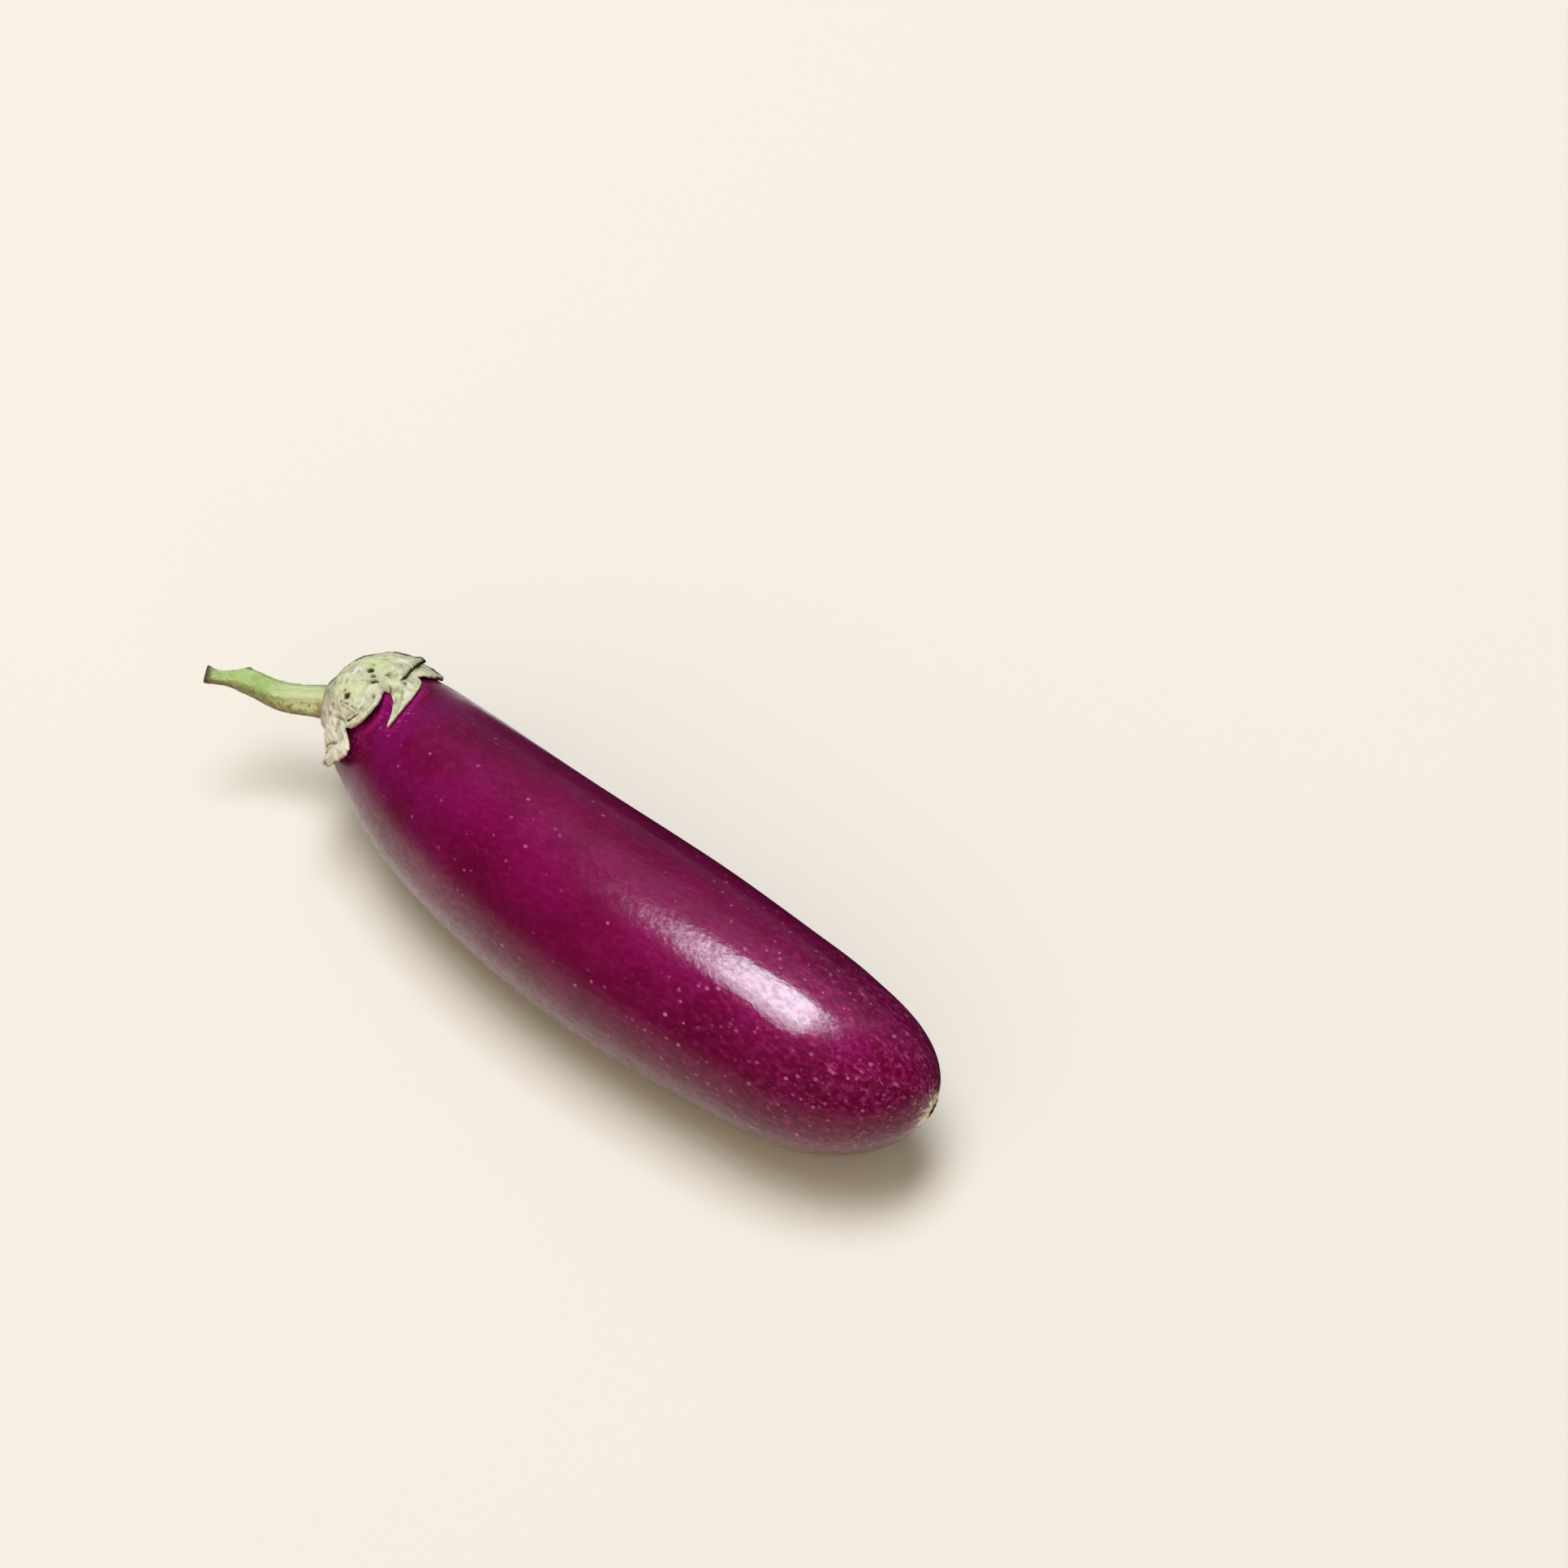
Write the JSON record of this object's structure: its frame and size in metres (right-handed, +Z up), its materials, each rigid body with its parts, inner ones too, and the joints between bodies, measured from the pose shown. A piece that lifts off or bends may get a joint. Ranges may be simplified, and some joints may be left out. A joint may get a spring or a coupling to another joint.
{
  "type": "eggplant",
  "caption": "Long purple eggplant lying on its side: a gently curved, glossy fruit that tapers to a lobed green calyx and a short bent stem, resting on a small flat spot",
  "frame": {"origin": "The middle of the box round the whole eggplant, in plan, on the surface that it lies on", "axes": "+X along the fruit from the stem to the blossom end, +Z up, +Y across to the side that the fruit bends towards"},
  "size_m": [0.2203, 0.0573, 0.0516],
  "materials": {
    "fruit": "gloss",
    "calyx": "matte",
    "stem": "matte"
  },
  "bodies": {
    "root": {"fruit": "fruit", "calyx": "calyx", "stem": "stem"}
  },
  "joints": []
}
